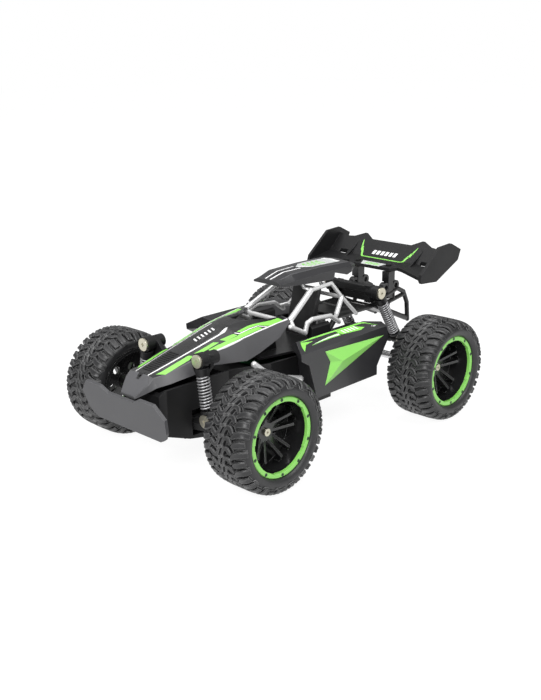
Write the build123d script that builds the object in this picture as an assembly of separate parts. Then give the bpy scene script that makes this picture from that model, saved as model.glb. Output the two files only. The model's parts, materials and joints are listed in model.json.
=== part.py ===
from build123d import *
import math
import os

# Toy buggy, 1:18 class. Millimetres. +X is the car's left, +Y its rear, +Z up.
# Parts are drawn with Y measured from the front axle and saved with the origin
# at the middle of the car's length, on the floor.

# ---- driving dimensions -------------------------------------------------
FRONT_END_Y = -58.0
WING_END_Y = 241.4
ORIGIN_Y = (FRONT_END_Y + WING_END_Y) / 2

WHEEL_RADIUS = 39.0
WHEELBASE = 180.3
TYRE_WIDTH = 38.0
FRONT_WHEEL_X = 75.3
REAR_WHEEL_X = 80.4
BEAD_RADIUS = 27.0
RING_INNER_RADIUS = 23.7
RIM_WALL = 2.6
SPOKE_PAIRS = 5
RING_BOLTS = 10

SCREW_RADIUS = 1.5
SCREW_HEAD_RADIUS = 4.6
SCREW_HEAD_HEIGHT = 1.5
WHEEL_SCREW_HEAD = 2.6
FIT = 0.06
GAP = 0.2

# Front suspension and steering
ARM_PIVOT_X = 12.0
ARM_PIVOT_Z = 31.0
ARM_HALF_LENGTH = 13.0
KINGPIN_X = 50.0
KINGPIN_RADIUS = 1.6
YOKE_LOW_Z = 26.5
YOKE_HIGH_Z = 51.5
EAR_THICKNESS = 3.5
STEER_ARM = 22.0
TIE_ROD_Z = 31.0
TIE_ROD_THICKNESS = 3.0
HORN_ARM = 13.0
AXLE_SCREW_RADIUS = 2.0

# Shock absorbers
FRONT_SHOCK_TOP = (28.0, 79.0)
FRONT_SHOCK_LOW = (33.7, 38.4)
FRONT_SHOCK_Y = -10.5
REAR_SHOCK_TOP = (WHEELBASE - 0.3, 88.0)
REAR_SHOCK_LOW = (WHEELBASE + 25.8, 45.4)
REAR_SHOCK_X = 24.1
SHOCK_EYE_WIDTH = 5.0
SHOCK_EYE_RADIUS = 5.4
SHOCK_CAP_RADIUS = 4.6
SHOCK_NECK_RADIUS = 2.4
SHOCK_UPPER_CAP = (5.3, 10.2)
SHOCK_LOWER_CAP = (5.0, 6.8)
SPRING_RADIUS = 3.95
SPRING_WIRE = 0.58
SPRING_PITCH = 2.15
LOOSE_EYE = 0.42
TIE_ROD_SLACK = 0.75

# Rear drive unit
PIVOT_Y = 125.0
PIVOT_Z = 40.0
PIVOT_PIN_RADIUS = 2.0
AXLE_RADIUS = 3.0
GEAR_MODULE = 0.8
PINION_TEETH = 10
IDLER_TEETH = 30
IDLER_PINION_TEETH = 12
AXLE_GEAR_TEETH = 32
IDLER_Y = WHEELBASE - GEAR_MODULE * (IDLER_PINION_TEETH + AXLE_GEAR_TEETH) / 2
MOTOR_Y = IDLER_Y - GEAR_MODULE * (PINION_TEETH + IDLER_TEETH) / 2
CASE_X = (-8.2, 7.0)
CASE_Y = (137.0, 197.0)
CASE_Z = (22.0, 56.0)
CASE_WALL = 2.0
MOTOR_RADIUS = 10.0

# Body
TUB_FLOOR_Z = 20.0
TUB_REAR_Y = 116.0
TUB_WALL = 2.0
SHELL_WALL = 1.8
POD_FACE_X = 60.0
BUMPER_RAKE = 0.256
WING_HALF_SPAN = 56.5
WING_POST_X = 15.8


# ---- helpers ------------------------------------------------------------
def block(x, y, z):
    """A box between two limits on each axis."""
    size = Box(x[1] - x[0], y[1] - y[0], z[1] - z[0])
    return Pos((x[0] + x[1]) / 2, (y[0] + y[1]) / 2, (z[0] + z[1]) / 2) * size


def rod(start, end, radius):
    """A round bar between two points."""
    a = Vector(*start)
    b = Vector(*end)
    middle = Plane(origin=(a + b) / 2, z_dir=b - a)
    return middle * Cylinder(radius, (b - a).length)


def rod_x(y, z, x, radius):
    return rod((x[0], y, z), (x[1], y, z), radius)


def rod_y(x, z, y, radius):
    return rod((x, y[0], z), (x, y[1], z), radius)


def rod_z(x, y, z, radius):
    return rod((x, y, z[0]), (x, y, z[1]), radius)


def bent_tube(points, radius):
    """Round bars joined by balls at the bends and at both ends."""
    tube = Pos(*points[0]) * Sphere(radius)
    for start, end in zip(points, points[1:]):
        tube += rod(start, end, radius)
        tube += Pos(*end) * Sphere(radius)
    return tube


def polygon(points):
    return Face(Wire.make_polygon([Vector(*p) for p in points], close=True))


def plate_xy(points, z):
    outline = polygon([(p[0], p[1], z[0]) for p in points])
    return extrude(outline, amount=z[1] - z[0], dir=(0, 0, 1))


def plate_xz(points, y):
    outline = polygon([(p[0], y[0], p[1]) for p in points])
    return extrude(outline, amount=y[1] - y[0], dir=(0, 1, 0))


def plate_yz(points, x):
    outline = polygon([(x[0], p[0], p[1]) for p in points])
    return extrude(outline, amount=x[1] - x[0], dir=(1, 0, 0))


def mirrored(shape):
    return mirror(shape, about=Plane.YZ)


def both_sides(shape):
    return shape + mirrored(shape)


def mirrored_outline(half):
    """Close a half outline, given from the middle outwards, across X = 0."""
    return half + [(-x, v) for x, v in reversed(half) if x > 0]


def faceted(points, faces):
    """A solid with flat faces between numbered points."""
    return Solid(Shell([polygon([points[i] for i in face]) for face in faces]))


def screw(head, direction, length, head_radius=SCREW_HEAD_RADIUS, radius=SCREW_RADIUS):
    """A washer-head screw: head is the seat of the head, direction points along the shank."""
    seat = Vector(*head)
    way = Vector(*direction).normalized()
    top = seat - way * SCREW_HEAD_HEIGHT
    body = rod(seat, seat + way * length, radius) + rod(top, seat, head_radius)
    frame = Plane(origin=top, z_dir=way)
    recess = Box(head_radius * 0.62, 0.7, 1.4) + Box(0.7, head_radius * 0.62, 1.4)
    return body - frame * recess


# ---- wheels -------------------------------------------------------------
def about_x(profile):
    """Turn a profile of (x, radius) points round the wheel's axis."""
    outline = polygon([(x, 0, r) for x, r in profile])
    return revolve(outline, axis=Axis.X)


def tyre():
    half = TYRE_WIDTH / 2
    crown = WHEEL_RADIUS
    bead = BEAD_RADIUS + 0.15
    outer = [(-16, bead), (-half + 0.8, 31), (-half, 35), (-half + 1.6, 37.8), (-14, crown - 0.3),
             (0, crown), (14, crown - 0.3), (half - 1.6, 37.8), (half, 35), (half - 0.8, 31), (16, bead)]
    inner = [(12, bead), (15, 31), (15, 34), (0, 35), (-15, 34), (-15, 31), (-12, bead)]
    return about_x(outer + inner)


def spoke_blade():
    side = [(5, -4), (5, 1.2), (18.8, 8.5), (BEAD_RADIUS - RIM_WALL + 0.2, 4), (BEAD_RADIUS - RIM_WALL + 0.2, -2),
            (18, 4)]
    outline = polygon([(x, -0.9, r) for r, x in side])
    return extrude(outline, amount=1.8, dir=(0, 1, 0))


def rim(bore_radius):
    barrel = about_x([(-17, BEAD_RADIUS - RIM_WALL), (-17, BEAD_RADIUS), (13.4, BEAD_RADIUS),
                      (13.4, BEAD_RADIUS - RIM_WALL)])
    hub = rod_x(0, 0, (-18.3, 1.5), 6.2)
    dish = about_x([(-4, 5), (-4, BEAD_RADIUS - RIM_WALL + 0.2), (-2.4, BEAD_RADIUS - RIM_WALL + 0.2), (-2.4, 5)])
    for pair in range(SPOKE_PAIRS):
        window = Rot((pair + 0.5) * 360 / SPOKE_PAIRS, 0, 0) * rod_x(0, 11.5, (-6, 0), 3)
        dish -= window
    body = barrel + hub + dish
    for pair in range(SPOKE_PAIRS):
        middle = pair * 360 / SPOKE_PAIRS
        for side in (-1, 1):
            blade = Pos(0, side * 1.6, 0) * (Rot(side * -8, 0, 0) * spoke_blade())
            body += Rot(middle, 0, 0) * blade
        web = Pos(0.5, 0, 12.5) * Box(2, 5, 15)
        body += Rot(middle, 0, 0) * web
    return body - rod_x(0, 0, (-20, 3), bore_radius)


def ring():
    band = about_x([(13.6, RING_INNER_RADIUS), (13.6, BEAD_RADIUS), (15.6, BEAD_RADIUS), (16, BEAD_RADIUS - 0.5),
                    (16, RING_INNER_RADIUS)])
    hole = rod_x(0, (RING_INNER_RADIUS + BEAD_RADIUS) / 2, (15, 17), 0.9)
    notch = Pos(15, 0, RING_INNER_RADIUS) * Box(4, 4, 1)
    for bolt in range(RING_BOLTS):
        turn = Rot(bolt * 360 / RING_BOLTS, 0, 0)
        band -= turn * hole
    for cut in range(SPOKE_PAIRS):
        band -= Rot((cut + 0.25) * 360 / SPOKE_PAIRS, 0, 0) * notch
    return band


def at_wheel(shape, x, y):
    return Pos(x, y, WHEEL_RADIUS) * shape


# ---- front suspension and steering --------------------------------------
def front_arm():
    eye = rod_y(ARM_PIVOT_X, ARM_PIVOT_Z, (-ARM_HALF_LENGTH, ARM_HALF_LENGTH), 3.5)
    plan = [(12, -13), (16, -13), (44, -5.5), (44, 5.5), (16, 13), (12, 13)]
    window = [(20, -8), (30, -5), (30, 5), (20, 8)]
    thickness = (ARM_PIVOT_Z - 2.3, ARM_PIVOT_Z + 2.3)
    body = eye + plate_xy(plan, thickness) - plate_xy(window, thickness)
    web_x = (KINGPIN_X - 8, KINGPIN_X - 5)
    width = (-5.5, 5.5)
    body += block(web_x, width, (YOKE_LOW_Z, YOKE_HIGH_Z))
    for low in (YOKE_LOW_Z, YOKE_HIGH_Z - EAR_THICKNESS):
        high = low + EAR_THICKNESS
        body += block((web_x[0], KINGPIN_X), width, (low, high))
        body += rod_z(KINGPIN_X, 0, (low, high), 5.5)
    x, z = FRONT_SHOCK_LOW
    body += block((x - 3.8, x + 3.8), (-7.6, -3.6), (ARM_PIVOT_Z, z + 2.6))
    body -= rod_y(x, z, (-9, -1), SCREW_RADIUS + FIT)
    body -= rod_z(KINGPIN_X, 0, (YOKE_LOW_Z - 1, YOKE_HIGH_Z + 1), KINGPIN_RADIUS + FIT)
    return body - rod_y(ARM_PIVOT_X, ARM_PIVOT_Z, (-20, 20), SCREW_RADIUS + FIT)


def arm_screw():
    x, z = FRONT_SHOCK_LOW
    seat = (x, FRONT_SHOCK_Y - SHOCK_EYE_WIDTH / 2 - GAP, z)
    return screw(seat, (0, 1, 0), 9.4)


def knuckle():
    barrel = (YOKE_LOW_Z + EAR_THICKNESS + 0.4, YOKE_HIGH_Z - EAR_THICKNESS - 0.4)
    body = rod_z(KINGPIN_X, 0, barrel, 4.2)
    body += rod_z(KINGPIN_X, 0, (YOKE_LOW_Z + 0.3, YOKE_HIGH_Z - 0.3), KINGPIN_RADIUS)
    body += rod_x(0, WHEEL_RADIUS, (KINGPIN_X, KINGPIN_X + 6.2), 5)
    arm_z = (41.0, 44.5)
    body += block((KINGPIN_X - 2.5, KINGPIN_X + 2.5), (0, STEER_ARM), arm_z)
    body += rod_z(KINGPIN_X, STEER_ARM, arm_z, 2.8)
    body += rod_z(KINGPIN_X, STEER_ARM, (TIE_ROD_Z - 7, arm_z[0]), KINGPIN_RADIUS)
    return body - rod_x(0, WHEEL_RADIUS, (KINGPIN_X - 3, KINGPIN_X + 8), AXLE_SCREW_RADIUS + FIT)


def wheel_screw():
    seat_x = FRONT_WHEEL_X + 1.7
    return screw((seat_x, 0, WHEEL_RADIUS), (-1, 0, 0), seat_x - KINGPIN_X + 2.8, WHEEL_SCREW_HEAD, AXLE_SCREW_RADIUS)


def tie_rod():
    half = TIE_ROD_THICKNESS / 2
    z = (TIE_ROD_Z - half, TIE_ROD_Z + half)
    body = block((-KINGPIN_X, KINGPIN_X), (STEER_ARM - 2.5, STEER_ARM + 2.5), z)
    body += block((-6, 6), (STEER_ARM - 3.8, STEER_ARM + 6.5), z)
    for x in (-KINGPIN_X, KINGPIN_X):
        body += rod_z(x, STEER_ARM, z, 3.4)
    slot = KINGPIN_RADIUS + TIE_ROD_SLACK
    for x in (-KINGPIN_X, KINGPIN_X):
        body -= rod_z(x, STEER_ARM, (z[0] - 1, z[1] + 1), slot)
        body -= rod_z(x, STEER_ARM - 1.1, (z[0] - 1, z[1] + 1), slot)
    horn_slot = KINGPIN_RADIUS + 0.3
    body -= block((-horn_slot, horn_slot), (STEER_ARM - horn_slot, STEER_ARM + 4.6), (z[0] - 1, z[1] + 1))
    return body


def servo_horn():
    pivot_y = STEER_ARM + HORN_ARM
    z = (34.0, 36.5)
    body = block((-2.4, 2.4), (STEER_ARM, pivot_y), z)
    body += rod_z(0, STEER_ARM, z, 2.4) + rod_z(0, pivot_y, z, 3.6)
    body += rod_z(0, STEER_ARM, (TIE_ROD_Z - 2.5, z[0]), KINGPIN_RADIUS)
    return body + rod_z(0, pivot_y, (z[1], 41), 2)


def steering_servo():
    pivot_y = STEER_ARM + HORN_ARM
    body = block((-9, 9), (pivot_y - 6, pivot_y + 17), (37.5, 56))
    body += block((-13, 13), (pivot_y - 1, pivot_y + 12), (50, 52))
    return body - rod_z(0, pivot_y, (36, 42), 2 + FIT)


# ---- shock absorbers ----------------------------------------------------
# Each is drawn hanging from its upper screw at the origin, screws along Y.
def shock_body(length, travel):
    half = SHOCK_EYE_WIDTH / 2
    eye = rod_y(0, 0, (-half, half), SHOCK_EYE_RADIUS)
    near, far = SHOCK_UPPER_CAP
    neck = rod_z(0, 0, (-near - 1, -3), SHOCK_NECK_RADIUS)
    cap = rod_z(0, 0, (-far, -near), SHOCK_CAP_RADIUS)
    barrel = rod_z(0, 0, (-length + SHOCK_LOWER_CAP[1] + travel, -far + 1), 2.2)
    bore = rod_z(0, 0, (-length, -far - 2), SCREW_RADIUS + 0.1)
    return eye + neck + cap + barrel - bore - rod_y(0, 0, (-9, 9), SCREW_RADIUS + FIT)


def shock_rod(length, travel):
    half = SHOCK_EYE_WIDTH / 2
    eye = rod_y(0, -length, (-half, half), 4.4)
    near, far = SHOCK_LOWER_CAP
    neck = rod_z(0, 0, (-length + 3, -length + near + 1), SHOCK_NECK_RADIUS)
    cap = rod_z(0, 0, (-length + near, -length + far), SHOCK_CAP_RADIUS)
    shaft = rod_z(0, 0, (-length + far - 1, -SHOCK_UPPER_CAP[1] - 3 - travel), SCREW_RADIUS)
    return eye + neck + cap + shaft - rod_y(0, -length, (-9, 9), SCREW_RADIUS + LOOSE_EYE)


def shock_spring(length):
    top = -SHOCK_UPPER_CAP[1] - SPRING_WIRE - 0.1
    bottom = -length + SHOCK_LOWER_CAP[1] + SPRING_WIRE + 0.1
    turns = round((top - bottom) / SPRING_PITCH)
    path = Pos(0, 0, bottom) * Helix((top - bottom) / turns, top - bottom, SPRING_RADIUS)
    section = Plane(origin=path @ 0, z_dir=path % 0) * Circle(SPRING_WIRE)
    return sweep(section, path, is_frenet=True)


def shock_length(top, low):
    return math.dist(top, low)


def shock_lean(top, low):
    return math.degrees(math.atan2(low[0] - top[0], top[1] - low[1]))


def front_shock(shape):
    x, z = FRONT_SHOCK_TOP
    lean = Rot(0, -shock_lean(FRONT_SHOCK_TOP, FRONT_SHOCK_LOW), 0)
    return Pos(x, FRONT_SHOCK_Y, z) * (lean * shape)


def rear_shock(shape):
    y, z = REAR_SHOCK_TOP
    lean = Rot(shock_lean(REAR_SHOCK_TOP, REAR_SHOCK_LOW), 0, 0) * Rot(0, 0, 90)
    return Pos(REAR_SHOCK_X, y, z) * (lean * shape)


# ---- rear drive unit ----------------------------------------------------
def gear(teeth, width, phase):
    """A spur gear along X, centred on the origin, with one tooth at the phase angle from +Y."""
    pitch_radius = GEAR_MODULE * teeth / 2
    root = pitch_radius - 1.2 * GEAR_MODULE
    tip = pitch_radius + 0.7 * GEAR_MODULE
    step = 2 * math.pi / teeth
    outline = []
    for tooth in range(teeth):
        middle = math.radians(phase) + tooth * step
        for radius, part in ((root, -0.3), (tip, -0.12), (tip, 0.12), (root, 0.3)):
            angle = middle + part * step
            outline.append((radius * math.cos(angle), radius * math.sin(angle)))
    return plate_yz(outline, (-width / 2, width / 2))


def axle_gear():
    body = Pos(3.5, WHEELBASE, WHEEL_RADIUS) * gear(AXLE_GEAR_TEETH, 4, 0)
    return body - rod_x(WHEELBASE, WHEEL_RADIUS, (0, 7), AXLE_RADIUS + 0.03)


def idler_gear():
    # The tooth gap of the small gear faces the axle gear's tooth at 180 degrees.
    small = Pos(3.6, IDLER_Y, WHEEL_RADIUS) * gear(IDLER_PINION_TEETH, 4.4, 180 / IDLER_PINION_TEETH)
    large = Pos(-3, IDLER_Y, WHEEL_RADIUS) * gear(IDLER_TEETH, 4, 0)
    hub = rod_x(IDLER_Y, WHEEL_RADIUS, (-1, 1.4), 3)
    shaft = rod_x(IDLER_Y, WHEEL_RADIUS, (-7.5, 8.4), SCREW_RADIUS)
    return small + large + hub + shaft


def motor_pinion():
    teeth = Pos(-3, MOTOR_Y, WHEEL_RADIUS) * gear(PINION_TEETH, 4, 180 / PINION_TEETH)
    return teeth + rod_x(MOTOR_Y, WHEEL_RADIUS, (-20, -0.4), 1)


def case_outline(wall):
    low_y, high_y = CASE_Y[0] + wall, CASE_Y[1] - wall
    low_z, high_z = CASE_Z[0] + wall, CASE_Z[1] - wall
    return [(low_y + 8, low_z), (high_y - 8, low_z), (high_y, low_z + 9), (high_y, high_z - 8),
            (high_y - 10, high_z), (low_y + 18, high_z), (low_y, high_z - 8), (low_y, low_z + 9)]


def gearbox_case():
    body = plate_yz(case_outline(0), CASE_X)
    body -= plate_yz(case_outline(CASE_WALL), (CASE_X[0] + CASE_WALL, CASE_X[1]))
    body += block((CASE_X[0], CASE_X[1] - 0.1), (PIVOT_Y, CASE_Y[0] + 1), (PIVOT_Z - 5, PIVOT_Z + 5))
    body += rod_x(PIVOT_Y, PIVOT_Z, (-13, 13), 6)
    y, z = REAR_SHOCK_LOW
    beam_end = REAR_SHOCK_X - SHOCK_EYE_WIDTH / 2 - 0.5
    body += rod_x(y, z, (-beam_end, beam_end), 3)
    body += rod_x(y, z, (3 - beam_end, beam_end - 3), 4.6)
    body += block((CASE_X[0], CASE_X[1] - 0.1), (CASE_Y[1] - 1, y), (z - 4, z + 4))
    body += rod_x(WHEELBASE, WHEEL_RADIUS, (-16, CASE_X[0]), 6)
    body -= rod_x(PIVOT_Y, PIVOT_Z, (-20, 20), PIVOT_PIN_RADIUS + FIT)
    body -= rod_x(WHEELBASE, WHEEL_RADIUS, (-20, -3), AXLE_RADIUS + FIT)
    body -= rod_x(IDLER_Y, WHEEL_RADIUS, (CASE_X[0] + 0.5, -4), SCREW_RADIUS + FIT)
    body -= rod_x(MOTOR_Y, WHEEL_RADIUS, (CASE_X[0] - 1, -4), 3.1)
    for side in (-1, 1):
        body -= rod_x(y, z, sorted((side * 12, side * 24)), SCREW_RADIUS + FIT)
    return body


def gearbox_cover():
    inner_x = CASE_X[1] + 0.1
    outer_x = inner_x + CASE_WALL
    body = plate_yz(case_outline(0), (inner_x, outer_x))
    body += rod_x(WHEELBASE, WHEEL_RADIUS, (outer_x, 16), 6)
    body -= rod_x(WHEELBASE, WHEEL_RADIUS, (5, 18), AXLE_RADIUS + FIT)
    return body - rod_x(IDLER_Y, WHEEL_RADIUS, (5, outer_x - 0.4), SCREW_RADIUS + FIT)


def drive_motor():
    end_x = CASE_X[0] - GAP
    can = rod_x(MOTOR_Y, WHEEL_RADIUS, (end_x - 25, end_x), MOTOR_RADIUS)
    can &= block((end_x - 26, end_x), (MOTOR_Y - 10, MOTOR_Y + 10), (WHEEL_RADIUS - 7.7, WHEEL_RADIUS + 7.7))
    can += rod_x(MOTOR_Y, WHEEL_RADIUS, (end_x - 27, end_x - 25), 4)
    can += rod_x(MOTOR_Y, WHEEL_RADIUS, (end_x, end_x + 1.8), 3)
    return can - rod_x(MOTOR_Y, WHEEL_RADIUS, (-21, 0), 1 + FIT)


def rear_shock_screws():
    y, z = REAR_SHOCK_LOW
    seat_x = REAR_SHOCK_X + SHOCK_EYE_WIDTH / 2 + GAP
    return both_sides(screw((seat_x, y, z), (-1, 0, 0), 13))


def rear_axle_shaft():
    end = REAR_WHEEL_X + 1.5
    shaft = rod_x(WHEELBASE, WHEEL_RADIUS, (-end, end), AXLE_RADIUS)
    for side in (-1, 1):
        shaft -= rod_x(WHEELBASE, WHEEL_RADIUS, sorted((side * (end - 8), side * (end + 1))), SCREW_RADIUS + FIT)
    return shaft


def rear_wheel_screws():
    seat = (REAR_WHEEL_X + 1.7, WHEELBASE, WHEEL_RADIUS)
    return both_sides(screw(seat, (-1, 0, 0), 7.5, WHEEL_SCREW_HEAD))


# ---- chassis ------------------------------------------------------------
def tub_plan(wall):
    half = [(0, -38 + wall), (17 - wall, -38 + wall), (20 - wall, -34), (21.5 - wall, 20), (31 - wall, 52),
            (31 - wall, TUB_REAR_Y - wall), (0, TUB_REAR_Y - wall)]
    return mirrored_outline(half)


def chassis_tub():
    side = [(-38, 31), (-16, 23), (0, TUB_FLOOR_Z), (TUB_REAR_Y, TUB_FLOOR_Z), (TUB_REAR_Y, 60), (24, 63),
            (-34, 62), (-38, 58)]
    hollow = [(-37, 33.2), (-16, 25.3), (0, 22.4), (TUB_REAR_Y, 22.4), (TUB_REAR_Y, 70), (-37, 70)]
    body = plate_xy(tub_plan(0), (15, 70)) & plate_yz(side, (-40, 40))
    body -= plate_xy(tub_plan(TUB_WALL), (15, 75)) & plate_yz(hollow, (-40, 40))
    # Blocks that carry the arm pins
    for y in ((-17.5, -13.3), (13.3, 17.2)):
        body += both_sides(block((7, 17), y, (22.4, 36)))
    body += block((-17, 17), (-17.5, -13.3), (25, 28))
    # Arches for the arms and slots for the tie rod
    body -= both_sides(block((14, 25), (-13.6, 13.6), (24.6, 43)))
    body -= both_sides(block((14, 32), (18, 27), (28.6, 33.4)))
    body -= both_sides(rod_y(ARM_PIVOT_X, ARM_PIVOT_Z, (-18, 18), SCREW_RADIUS + FIT))
    # Ledges for the receiver board
    for y in ((64, 70), (98, 104)):
        body += both_sides(block((22, 29.5), y, (44, 46)))
    # Rear lugs for the drive unit's pivot pin
    lug = [(TUB_REAR_Y - 1, 28), (PIVOT_Y + 2, 34), (PIVOT_Y + 6, PIVOT_Z), (PIVOT_Y + 2, 46),
           (TUB_REAR_Y - 1, 52)]
    body += both_sides(plate_yz(lug, (14, 19)))
    body -= rod_x(PIVOT_Y, PIVOT_Z, (-25, 25), PIVOT_PIN_RADIUS + FIT)
    # Battery opening with a ledge, and the switch slot
    body -= block((-17, 17), (58, 108), (TUB_FLOOR_Z - 1, TUB_FLOOR_Z + 1.5))
    body -= block((-15, 15), (60, 106), (TUB_FLOOR_Z - 1, 24))
    return body - block((13, 17), (40, 50), (TUB_FLOOR_Z - 1, 24))


def battery_door():
    plate = block((-16.8, 16.8), (58.2, 107.8), (TUB_FLOOR_Z, TUB_FLOOR_Z + 1.4))
    for rib in range(3):
        y = 70 + rib * 3
        plate -= block((-6, 6), (y, y + 1.2), (TUB_FLOOR_Z - 1, TUB_FLOOR_Z + 0.5))
    return plate - rod_z(0, 102, (TUB_FLOOR_Z - 1, TUB_FLOOR_Z + 2), 1.2)


def battery_pack():
    cells = block((-14, 14), (61, 105), (24, 38))
    return fillet(cells.edges().filter_by(Axis.Y), 6)


def receiver_board():
    board = block((-27, 27), (66, 102), (46.1, 47.7))
    board += block((-6, 6), (72, 84), (47.7, 49.7))
    board += block((10, 22), (74, 80), (47.7, 51.7))
    return board + rod_z(-16, 90, (47.7, 55), 3)


def power_switch():
    knob = block((13.3, 16.7), (40.3, 44.3), (TUB_FLOOR_Z + 0.4, 22.7))
    return knob + block((11.5, 18.5), (38.5, 46.5), (22.7, 24.2))


def suspension_pins():
    front = both_sides(rod_y(ARM_PIVOT_X, ARM_PIVOT_Z, (-17.4, 17.1), SCREW_RADIUS))
    return front + rod_x(PIVOT_Y, PIVOT_Z, (-20, 20), PIVOT_PIN_RADIUS)


def front_bumper():
    half = [(0, 58.7), (13.5, 58.7), (20.5, 62.3), (35.7, 62.3), (43.5, 53.5), (41.5, 43), (38, 37.5), (33, 35),
            (0, 35)]
    top_z = 62.3
    slope = math.hypot(1, BUMPER_RAKE)
    face = Plane(origin=(0, FRONT_END_Y, top_z), x_dir=(1, 0, 0), z_dir=(0, -1, -BUMPER_RAKE))
    outline = [face.from_local_coords(Vector(x, (z - top_z) * slope, 0)) for x, z in mirrored_outline(half)]
    plate = extrude(Face(Wire.make_polygon(outline, close=True)), amount=2.4, dir=(0, 1, BUMPER_RAKE))
    bracket = plate_yz([(-52, 40), (-38.3, 40), (-38.3, 50), (-53.5, 50)], (6, 12))
    return plate + both_sides(bracket)


def front_shock_tower():
    x, z = FRONT_SHOCK_TOP
    half = [(0, 59), (12, 59), (15.3, 64), (24, 64), (32, 74), (32.5, 82), (27, 84.3), (17, 74.5), (15.3, 66),
            (0, 66)]
    plate = plate_xz(mirrored_outline(half), (-5.6, -2.6))
    plate += both_sides(rod_y(x, z, (FRONT_SHOCK_Y + SHOCK_EYE_WIDTH / 2 + 0.3, 2.5), 4.6))
    return plate - both_sides(rod_y(x, z, (-9, 1), SCREW_RADIUS + FIT))


def rear_shock_tower():
    y, z = REAR_SHOCK_TOP
    eye_side = REAR_SHOCK_X - SHOCK_EYE_WIDTH / 2 - 0.3
    bar = block((-19, 19), (y - 4, y + 3), (z - 2, z + 5))
    leg = block((13.5, 19), (y - 4, y + 3), (79.5, z + 5))
    boss = rod_x(y, z, (15, eye_side), 4.7)
    body = fillet(bar.edges().filter_by(Axis.X), 1.5) + both_sides(leg + boss)
    body += block((-13.5, 13.5), (y - 1.5, y + 0.5), (80, z - 1))
    return body - both_sides(rod_x(y, z, (12, 24), SCREW_RADIUS + FIT))


def rear_frame():
    y, z = REAR_SHOCK_TOP
    rail_x = 17.0
    rail = [(rail_x, TUB_REAR_Y + 4, 58), (rail_x, 138, 76), (rail_x, y + 4, 76), (rail_x, 226, 57)]
    side = bent_tube(rail, 2.2)
    side += bent_tube([(rail_x, y, 76), (rail_x, 195, 80), (rail_x, 214, 84.5), (rail_x, 223, 80),
                       (rail_x, 228, 70), (rail_x, 229.5, 55)], 1.9)
    side += bent_tube([(rail_x, 201, 70), (rail_x, 203, 75), (rail_x, 224, 78)], 1.8)
    side += rod((rail_x, 209, 75), (rail_x, 209, 84), 1.6)
    post_x = WING_POST_X
    side += block((post_x - 2.5, post_x + 2.5), (201, 207), (78, 94))
    side += block((post_x - 3.4, post_x + 3.4), (200, 208), (92, 100.2))
    for lug_y in (198.5, 211.5):
        lug = rod_x(lug_y, 87.5, (post_x - 2.2, post_x + 2.2), 4.2) - rod_x(lug_y, 87.5, (10, 22), 2)
        side += lug
    side += block((rail_x - 3, rail_x + 3), (TUB_REAR_Y + 0.2, TUB_REAR_Y + 6), (52.2, 60))
    body = both_sides(side)
    for cross in ((138, 76), (160, 76), (203, 75), (229, 57)):
        body += rod_x(cross[0], cross[1], (-rail_x, rail_x), 1.8)
    body += block((-rail_x, rail_x), (138, 176), (74.5, 77))
    body += plate_yz([(186, 73.9), (224, 56.9), (224, 58.9), (186, 75.9)], (-rail_x + 0.6, rail_x - 0.6))
    for side_sign in (-1, 1):
        x = sorted((side_sign * (rail_x - 3.6), side_sign * (rail_x + 4)))
        body -= block(x, (y - 4.2, y + 3.2), (79.3, 86))
    return body - both_sides(rod_z(post_x, 204, (90, 101), 1.2 + FIT))


def rear_wing():
    span = (-WING_HALF_SPAN, WING_HALF_SPAN)
    profile = [(186, 99), (216, 104.2), (234, 120), (232, 122), (215, 106.6), (186, 101.6)]
    blade = plate_yz(profile, span)
    front = [(0, 199), (20, 199), (25, 203), (31, 201.5), (57, 191), (57, 250), (0, 250)]
    rear = [(0, 180), (57, 180), (57, 229.5), (45.8, 228), (40, 228.5), (29.6, 232.5), (20, 228), (0, 228)]
    blade &= plate_xy(mirrored_outline(front), (90, 130))
    blade &= plate_xy(mirrored_outline(rear), (90, 130))
    blade -= both_sides(block((38, 46), (213.5, 217.5), (95, 120)))
    blade -= both_sides(rod_z(WING_POST_X, 204, (95, 110), 2.7))
    rib = plate_yz([(203, 103), (216, 105), (229, 116), (227, 117.5), (218, 111)], (32.4, 34))
    end = [(189.8, 98.7), (188.1, 101.4), (189.4, 105.7), (212.1, 123.7), (228.3, 124.6), (WING_END_Y, 118.2),
           (238, 110.1), (209.2, 97.1)]
    end_plate = plate_yz(end, (WING_HALF_SPAN - 0.1, WING_HALF_SPAN + 2.4))
    return blade + both_sides(rib + end_plate)


def chassis_screws():
    x, z = FRONT_SHOCK_TOP
    seat_y = FRONT_SHOCK_Y - SHOCK_EYE_WIDTH / 2 - GAP
    screws = both_sides(screw((x, seat_y, z), (0, 1, 0), 13))
    y, z = REAR_SHOCK_TOP
    screws += both_sides(screw((REAR_SHOCK_X + SHOCK_EYE_WIDTH / 2 + GAP, y, z), (-1, 0, 0), 13))
    wing = rod_z(WING_POST_X, 204, (91, 101), 1.2) + rod_z(WING_POST_X, 204, (100.3, 101.8), 2.4)
    return screws + both_sides(wing)


# ---- body panels --------------------------------------------------------
def lofted(sections):
    """A solid through half sections {y: [(x, z), ...]} given from the middle outwards."""
    faces = [polygon([(x, y, z) for x, z in mirrored_outline(half)]) for y, half in sections]
    return loft(faces, ruled=True)


def lowered(half, wall):
    """The inside of a shell's half section, open below."""
    inside = [(max(x - wall, 0), z - wall) for x, z in half[:-1]]
    x, z = half[-1]
    return inside + [(x - wall, z - 3 * wall)]


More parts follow.
